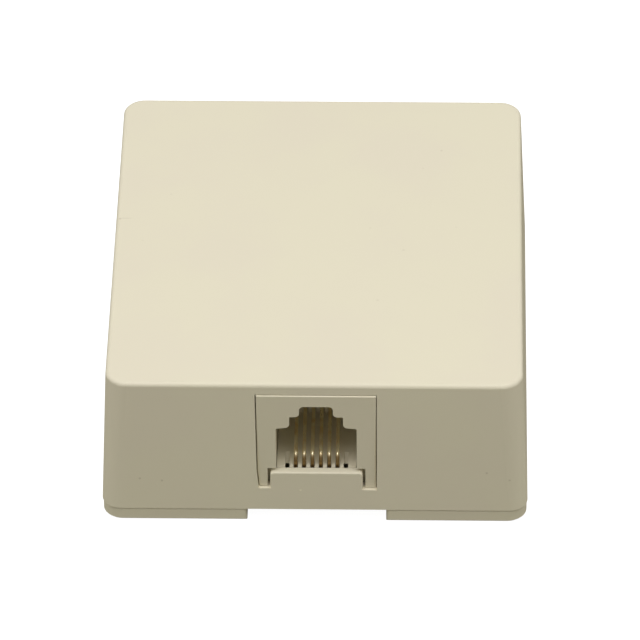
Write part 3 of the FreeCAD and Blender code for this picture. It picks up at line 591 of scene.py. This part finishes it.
@dataclass
class Mouldings:
    """The cover, base plate, jack housing and contact carrier, all ivory plastic.

    Attributes:
        ivory: Colour of the cover and the base plate.
        ivory_shade: The faint clouds of all four.
        jack: Colour of the jack housing and the contact carrier.
        jack_roughness: Their roughness, which is a little smoother.
        jack_relief: Depth of their grain, in millimetres.
        roof_marks: Marks on the cover's roof as (x, y, reach, depth), in millimetres.
        front_marks: Marks on its front wall as (x, z, reach, depth).
        scratch: A fine scratch that runs in from the roof's left edge, as (x, y, reach, depth).
        scratch_stretch: How much longer than wide the scratch is.
        pale_mark: A light speck on the tongue, as (x, z, reach, depth).
        lean: How much further forward the front wall is at the foot than under the roof, in millimetres.
    """

    ivory: Colour = ink(230, 223, 198)
    ivory_shade: Colour = ink(229, 221, 198)
    jack: Colour = ink(229, 222, 197)
    jack_roughness: float = 0.42
    jack_relief: float = 0.004
    roof_marks: tuple[Mark, ...] = (
        (-24.8, 3.75, 0.26, 0.2), (15.2, 18.2, 0.24, 0.13), (12.9, 14.5, 0.2, 0.08), (6.4, 2.2, 0.2, 0.1),
        (10.6, -2.2, 0.28, 0.09), (7.5, -12.2, 0.26, 0.1), (17.1, 2.5, 0.2, 0.08), (-18.6, 8.8, 0.2, 0.07),
        (-21.8, -0.6, 0.2, 0.06))
    front_marks: tuple[Mark, ...] = (
        (-24.6, 19.3, 0.24, 0.3), (-21.3, 6.5, 0.22, 0.26), (-18.6, 6.2, 0.2, 0.26), (21.0, 7.7, 0.22, 0.26),
        (23.8, 6.6, 0.2, 0.24))
    scratch: Mark = (-24.1, 3.85, 0.16, 0.12)
    scratch_stretch: float = 7.0
    pale_mark: Mark = (-1.7, 4.87, 0.2, 0.8)
    lean: float = 0.8

    def marks(self) -> tuple[Speck, ...]:
        """Sets the marks at their places on the cover's roof and front wall.

        Returns:
            All marks of the cover.
        """
        low, high = (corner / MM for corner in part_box("cover"))

        def roof(mark: Mark) -> Triple:
            """Where a mark lies on the roof."""
            return mark[0], mark[1], high.z

        def front(mark: Mark) -> Triple:
            """Where a mark lies on the leaning front wall."""
            return mark[0], low.y + self.lean * (mark[1] - low.z) / (high.z - low.z), mark[1]

        found = [Speck(roof(mark), *mark[2:]) for mark in self.roof_marks]
        found += [Speck(front(mark), *mark[2:]) for mark in self.front_marks]
        found.append(Speck(roof(self.scratch), *self.scratch[2:], stretch=self.scratch_stretch))
        found.append(Speck(front(self.pale_mark), *self.pale_mark[2:], tone=Tone.PALE))
        return tuple(found)

    def dress(self, nodes: Mapping[str, bpy.types.Object]) -> None:
        """Paints the four mouldings.

        Args:
            nodes: The CAD nodes by name.
        """
        cover = MouldedPlastic("ivory_cover", self.ivory, self.ivory_shade, specks=self.marks())
        base = MouldedPlastic("ivory_base", self.ivory, self.ivory_shade)
        jack = MouldedPlastic(
            "ivory_jack", self.jack, self.ivory_shade, roughness=self.jack_roughness, relief=self.jack_relief)
        paint(nodes["cover"], cover.material())
        paint(nodes["base_plate"], base.material())
        for name in ("jack_housing", "contact_carrier"):
            paint(nodes[name], jack.material())


@dataclass
class Contacts:
    """The six gold-plated spring wires of the jack.

    Attributes:
        gold: Colour of the plating.
        worn: Its browner patches.
        bend_shade: Brown painted shade round the front bends.
        nose: How far back the bends reach, in millimetres.
    """

    gold: Colour = ink(254, 242, 204)
    worn: Colour = ink(244, 224, 176)
    # Brown painted shade for the front bends, which turn away from the light.
    bend_shade: Colour = ink(146, 120, 78)
    nose: float = 0.9

    def dress(self, nodes: Mapping[str, bpy.types.Object]) -> None:
        """Paints the contact springs.

        Args:
            nodes: The CAD nodes by name.
        """
        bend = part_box("contact_1")[0].y / MM + self.nose
        # The wires' front bends get brown painted shade.
        wire = GoldWire("contact_gold", self.gold, self.worn, self.bend_shade, bend).material()
        for pole in POLES:
            paint(nodes[f"contact_{pole}"], wire)


@dataclass
class Terminals:
    """Screws, washers, lugs and threaded inserts of the six terminals.

    Attributes:
        zinc: Plating of the screws and washers.
        zinc_stain: Its duller patches.
        tin: Plating of the lugs.
        tin_dull: Its duller patches.
        brass: Metal of the inserts.
        brass_stain: Its duller patches.
        washer_roughness: Roughness of the washers.
        insert_roughness: Roughness of the inserts.
    """

    zinc: Colour = ink(214, 213, 206)
    zinc_stain: Colour = ink(176, 174, 162)
    tin: Colour = ink(222, 221, 216)
    tin_dull: Colour = ink(178, 177, 172)
    brass: Colour = ink(226, 196, 126)
    brass_stain: Colour = ink(170, 134, 72)
    washer_roughness: float = 0.382
    insert_roughness: float = 0.322

    def dress(self, nodes: Mapping[str, bpy.types.Object]) -> None:
        """Paints the terminal hardware, with tool marks centred on each screw.

        Args:
            nodes: The CAD nodes by name.
        """
        centres = [sum(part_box(f"terminal_screw_{pole}"), Vector()) / 2 / MM for pole in (1, 2)]
        axes = (abs(centres[0].x), centres[0].y, centres[1].y - centres[0].y)
        kinds = {
            "terminal_screw": TurnedMetal("zinc_screw", self.zinc, self.zinc_stain, *axes),
            "terminal_washer": TurnedMetal(
                "zinc_washer", self.zinc, self.zinc_stain, *axes, roughness=self.washer_roughness),
            "terminal_insert": TurnedMetal(
                "turned_brass", self.brass, self.brass_stain, *axes, roughness=self.insert_roughness),
            "spade_lug": SheetMetal("tinned_lug", self.tin, self.tin_dull),
        }
        for kind, finish in kinds.items():
            material = finish.material()
            for pole in POLES:
                paint(nodes[f"{kind}_{pole}"], material)


class LeadColour(Enum):
    """Insulation colours of the leads, in the order of the jack's contacts."""

    WHITE = ink(236, 234, 226)
    BLACK = ink(26, 26, 27)
    RED = ink(178, 32, 30)
    GREEN = ink(28, 112, 56)
    YELLOW = ink(226, 190, 44)
    BLUE = ink(34, 74, 150)


@dataclass
class Lead:
    """One insulated lead from the jack's rear wall to its spade lug, folded once behind its terminal.

    Attributes:
        pole: Number of the contact and the terminal that it joins.
        colour: Its insulation.
        diameter: Outside the insulation.
        fan: How far it leans outward on its way back.
        drift: How far it has come back inward where the fold begins.
        loop: How far the fold reaches behind the terminal.
        crown_rise: The fold's middle above its beginning.
        fold_rise: The fold's end above its beginning.
        bend: Length of the first and the last bend.
        floor_gap: The lower leads above the base plate's upper side.
        row_rise: The upper row of leads above the lower one.
        insertion: How far it reaches into the lug's barrel.
        barrel_wall: From the lug's upper side down to the insulation.
        exit_level: Height of the lower row where it leaves the jack.
        base_top: The base plate's upper side.
        fold_corner: Half of each of the fold's three corners.
        end_corner: Half of each of the last bend's two corners.
        ring_steps: How finely its section is rounded.
        run_steps: How finely its line is divided.
    """

    pole: int
    colour: LeadColour
    diameter: float = 1.1 * MM
    fan: float = 0.3 * MM
    drift: float = 0.2 * MM
    loop: float = 7.0 * MM
    crown_rise: float = 0.3 * MM
    fold_rise: float = 0.7 * MM
    bend: float = 2.8 * MM
    floor_gap: float = 2.55 * MM
    row_rise: float = 1.6 * MM
    insertion: float = 2.2 * MM
    barrel_wall: float = 0.4 * MM
    exit_level: float = 6.53 * MM
    base_top: float = 1.8 * MM
    fold_corner: float = math.radians(30)
    end_corner: float = math.radians(22.5)
    ring_steps: int = 5
    run_steps: int = 14

    def route(self) -> list[Vector]:
        """Sets out the points that guide the lead's spline.

        Returns:
            The points, from the jack's rear wall to inside the lug's barrel.
        """
        wire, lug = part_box(f"contact_{self.pole}"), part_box(f"spade_lug_{self.pole}")
        high = self.row_rise if self.pole % 2 == 0 else 0.0
        side = -1.0 if lug[0].x < 0 else 1.0
        out = Vector(((wire[0].x + wire[1].x) / 2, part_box("jack_housing")[1].y, self.exit_level + high))
        end = Vector((0.0, (lug[0].y + lug[1].y) / 2, lug[1].z - self.diameter / 2 - self.barrel_wall))
        mouth = min(abs(lug[0].x), abs(lug[1].x))
        low = self.base_top + self.floor_gap + high
        inner, outer = out.x + side * self.fan, side * (mouth - self.bend)
        fold = abs(outer - inner) / 2
        fold_y = end.y + self.loop
        shoulder, crown = fold * math.tan(self.fold_corner), fold / math.cos(self.fold_corner)
        cut = self.bend * (1 - math.tan(self.end_corner))
        return [out,
                out + Vector((0.0, self.bend, 0.0)),
                Vector((inner, (out.y + fold_y) / 2, low)),
                Vector((inner - side * self.drift, fold_y + shoulder, low)),
                Vector(((inner + outer) / 2, fold_y + crown, low + self.crown_rise)),
                Vector((outer, fold_y + shoulder, low + self.fold_rise)),
                Vector((outer, end.y + cut, (low + 2 * end.z) / 3)),
                Vector((outer + side * cut, end.y, end.z)),
                Vector((side * (mouth + self.insertion), end.y, end.z))]

    def tube(self, name: str, points: Sequence[Vector]) -> bpy.types.Object:
        """Sweeps a round section along a smooth spline.

        Args:
            name: The piece's name.
            points: The spline's control points.

        Returns:
            The tube as a mesh with closed ends.
        """
        curve = bpy.data.curves.new(name, "CURVE")
        curve.dimensions = "3D"
        curve.bevel_depth = self.diameter / 2
        curve.bevel_resolution = self.ring_steps
        curve.use_fill_caps = True
        curve.resolution_u = self.run_steps
        spline = curve.splines.new("NURBS")
        spline.points.add(len(points) - 1)
        for control, point in zip(spline.points, points):
            control.co = (*point, 1.0)
        spline.order_u = 3
        spline.use_endpoint_u = True
        guide = bpy.data.objects.new(name + "_guide", curve)
        bpy.context.scene.collection.objects.link(guide)
        bpy.context.view_layer.update()
        mesh = bpy.data.meshes.new_from_object(guide.evaluated_get(bpy.context.evaluated_depsgraph_get()))
        bpy.data.objects.remove(guide)
        for face in mesh.polygons:
            face.use_smooth = True
        piece = bpy.data.objects.new(name, mesh)
        bpy.context.scene.collection.objects.link(piece)
        return piece

    def build(self) -> None:
        """Makes the lead and hides the CAD lead that it replaces."""
        points = self.route()
        piece = self.tube(f"insulated_lead_{self.pole}", points)
        name = self.colour.name.lower()
        paint(piece, Insulation(f"insulation_{name}", self.colour.value).material())
        # The fold's crown and the last bend are picked out, with a level direction square to the run between
        # them, turned away from the exit.
        exit_point, crown, last_bend = points[0], points[4], points[7]
        run = last_bend - crown
        square = Vector((run.y, -run.x, 0.0)).normalized()
        if square.dot(crown - exit_point) < 0:
            square.negate()
        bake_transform(piece)
        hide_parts(f"lead_{self.pole}")


@dataclass
class Studio:
    """Pale floor, even soft light, one high softbox and the camera.

    Attributes:
        ambient: Strength of the light that comes from all round.
        sides: How much stronger it is level with the object on the left and the right.
        mirrored: Strength of the surroundings as metal and gloss show them.
        key: Strength of the softbox on a surface that faces it.
        lamp_distance: From the object to the softbox.
        lamp_size: Width and depth of the softbox.
        elevation: How high the softbox stands, in degrees.
        azimuth: How far it stands to the right of the front, in degrees.
        floor_size: Length of the floor's sides.
        floor_drop: The floor below the base plate.
        floor_grey: The floor's own grey to the camera, on which the object's shadow falls.
        bounce: The floor's colour to what stands on it.
        glow: The floor's own share of its white, so that shadows on it stay faint.
        lens: Focal length in millimetres.
        sensor: Width of the sensor in millimetres.
        clip: The nearest and the furthest that the camera sees.
        position: Where the camera stands.
        yaw: How far it is turned to the left, in degrees.
        pitch: How far it looks down, in degrees.
        roll: How far it is tilted to the right, in degrees.
    """

    ambient: float = 0.26
    sides: float = 0.87
    mirrored: float = 0.4
    key: float = 0.655
    lamp_distance: float = 0.7
    lamp_size: tuple[float, float] = (0.75, 0.42)
    elevation: float = 76.0
    azimuth: float = 1.0
    floor_size: float = 6.0
    floor_drop: float = 0.05 * MM
    floor_grey: float = 0.3
    bounce: Colour = (0.2, 0.185, 0.11)
    glow: float = 0.96
    lens: float = 357.5
    sensor: float = 36.0
    clip: tuple[float, float] = (0.02, 20.0)
    position: Triple = (15.364 * MM, -621.255 * MM, 506.514 * MM)
    yaw: float = 1.4052
    pitch: float = 38.7393
    roll: float = 0.4672

    def rays(self, recipe: Recipe) -> tuple[Signal, Signal]:
        """1 for what the camera sees directly, and 1 for what it sees in gloss and metal."""
        outputs = recipe.node("ShaderNodeLightPath", {}, {}).socket.node.outputs
        return Signal(recipe, outputs["Is Camera Ray"]), Signal(recipe, outputs["Is Glossy Ray"])

    def lay_floor(self) -> None:
        """Puts a level floor just under the base plate, white to the camera and with the object's shadow."""
        recipe = Recipe("studio_floor")
        seen, _ = self.rays(recipe)
        colour = recipe.mix(seen, self.bounce, (self.floor_grey,) * 3)
        body = recipe.node("ShaderNodeBsdfDiffuse", {}, {"Color": colour})
        glow = recipe.node("ShaderNodeEmission", {}, {"Color": (1.0,) * 4, "Strength": seen * self.glow})
        bpy.ops.mesh.primitive_plane_add(size=self.floor_size, location=(0.0, 0.0, 0.0))
        floor = bpy.context.object
        floor.name = "studio_floor"
        floor.location.z = -self.floor_drop
        paint(floor, recipe.close(recipe.node("ShaderNodeAddShader", {}, {0: body, 1: glow})))

    def light_world(self) -> None:
        """Fills the world with even light, which the camera sees as white."""
        recipe = Recipe("studio_world", world=True)
        seen, glossy = self.rays(recipe)
        across, _, _ = recipe.axes(recipe.node("ShaderNodeTexCoord", {}, {}, "Generated"))
        around = across * across * self.sides + self.ambient
        strength = seen + (1.0 - seen) * (around + glossy * (self.mirrored - around))
        sky = recipe.node("ShaderNodeBackground", {}, {"Color": (1.0,) * 4, "Strength": strength})
        bpy.context.scene.world = recipe.close(sky)

    def hang_softbox(self) -> None:
        """Hangs one softbox high in front of the object, turned to its origin."""
        lamp = bpy.data.lights.new("softbox", "AREA")
        lamp.shape = "RECTANGLE"
        lamp.size, lamp.size_y = self.lamp_size
        # A white surface that faces the lamp sends back its power / (pi * distance) ** 2.
        lamp.energy = self.key * (math.pi * self.lamp_distance) ** 2
        fitting = bpy.data.objects.new("softbox", lamp)
        rise, turn = math.radians(self.elevation), math.radians(self.azimuth)
        away = Vector((math.sin(turn) * math.cos(rise), -math.cos(turn) * math.cos(rise), math.sin(rise)))
        fitting.matrix_world = (Matrix.Translation(away * self.lamp_distance)
                                @ away.to_track_quat("Z", "Y").to_matrix().to_4x4())
        bpy.context.scene.collection.objects.link(fitting)

    def set_camera(self) -> None:
        """Places the camera in front of the box, above it and well back."""
        camera = bpy.data.cameras.new("studio_camera")
        camera.lens = self.lens
        camera.sensor_width = self.sensor
        camera.clip_start, camera.clip_end = self.clip
        mount = bpy.data.objects.new("studio_camera", camera)
        turn = (Matrix.Rotation(math.radians(self.yaw), 4, "Z")
                @ Matrix.Rotation(math.radians(90 - self.pitch), 4, "X")
                @ Matrix.Rotation(math.radians(-self.roll), 4, "Z"))
        mount.matrix_world = Matrix.Translation(self.position) @ turn
        bpy.context.scene.collection.objects.link(mount)
        bpy.context.scene.camera = mount

    def build(self) -> None:
        """Sets up the whole studio."""
        bpy.context.scene.view_settings.view_transform = "Standard"
        self.lay_floor()
        self.light_world()
        self.hang_softbox()
        self.set_camera()
        LOG.info("studio: floor, world, softbox and camera")


def main() -> None:
    """Loads the frame, dresses every part and sets up the studio."""
    logging.basicConfig(level=logging.INFO, format="%(name)s: %(message)s")
    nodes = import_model()["nodes"]
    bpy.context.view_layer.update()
    Mouldings().dress(nodes)
    Contacts().dress(nodes)
    Terminals().dress(nodes)
    for pole, colour in zip(POLES, LeadColour):
        Lead(pole, colour).build()
    Studio().build()


if __name__ == "__main__":
    main()
